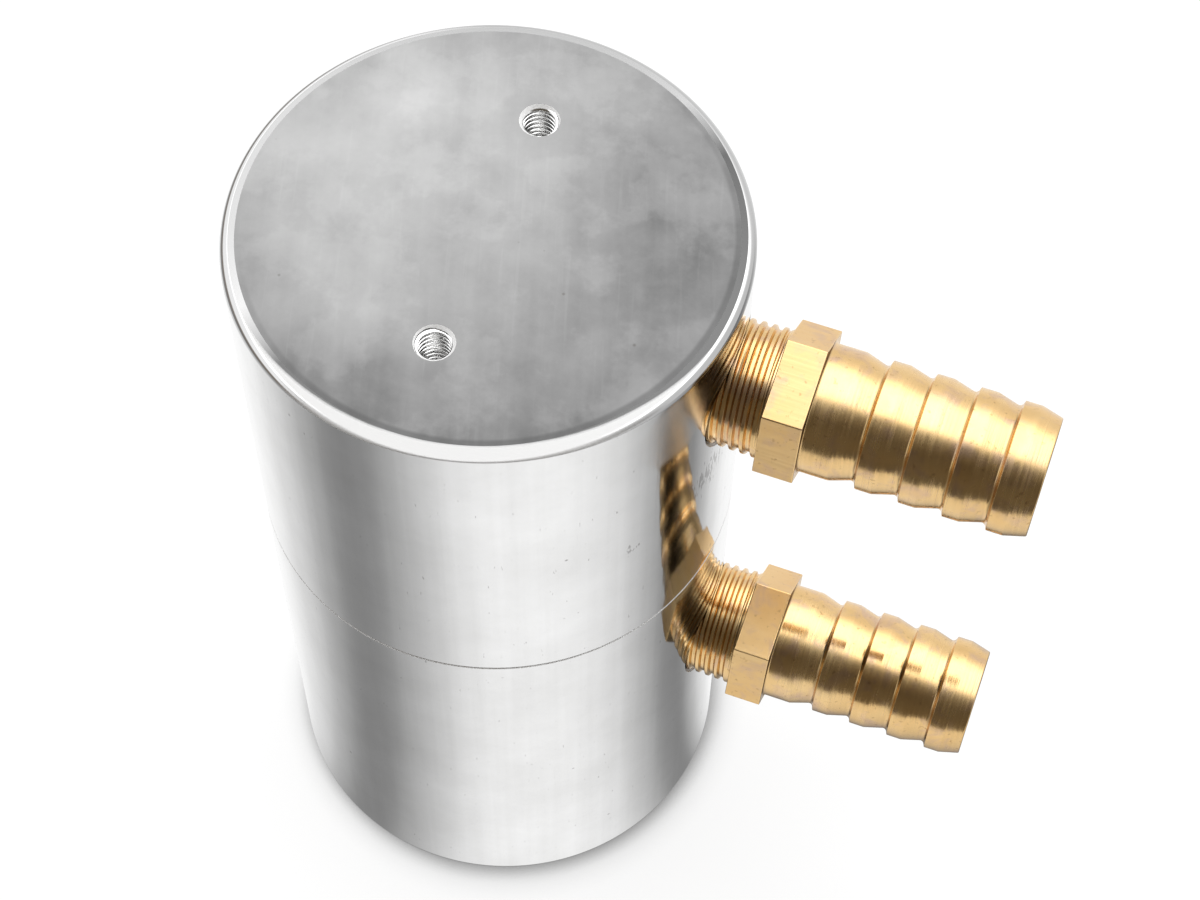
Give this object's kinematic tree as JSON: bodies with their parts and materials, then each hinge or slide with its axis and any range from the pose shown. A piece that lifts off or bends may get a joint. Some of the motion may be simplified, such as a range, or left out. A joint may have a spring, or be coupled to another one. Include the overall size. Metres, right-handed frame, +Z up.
{
  "type": "oil catch can",
  "caption": "Round metal oil catch can that unscrews at a seam round its middle, with hose barbs out of one side and tapped bracket holes in its top.",
  "frame": {"origin": "centre of the can's base", "axes": "+Z up along the can's axis, +X out along the hose barbs"},
  "size_m": [0.1327, 0.0826, 0.1575],
  "materials": {
    "polished_aluminium": "mirror polished",
    "brass": "machined, lightly tarnished",
    "seal_rubber": "matt",
    "stainless_sheet": "rolled",
    "knitted_wire": "drawn wire",
    "spring_steel": "oiled"
  },
  "bodies": {
    "cup": {"lower_cup": "polished_aluminium", "lower_hose_barb": "brass"},
    "seal": {"seal_ring": "seal_rubber"},
    "housing": {"upper_housing": "polished_aluminium", "upper_hose_barb": "brass", "upper_screen": "stainless_sheet", "mesh_pad": "knitted_wire", "lower_screen": "stainless_sheet", "retaining_ring": "spring_steel"}
  },
  "joints": [
    {"name": "housing_turn", "type": "hinge", "parent": "cup", "child": "seal", "pos_m": [0, 0, 0.089], "axis": [0, 0, 1], "range_deg": [0, 2160]},
    {"name": "housing_rise", "type": "slide", "parent": "seal", "child": "housing", "axis": [0, 0, 1], "range_m": [0, 0.012]}
  ],
  "couplings": [
    {"joint": "housing_rise", "follows": "housing_turn", "m_per_rad": 0.00031831}
  ]
}
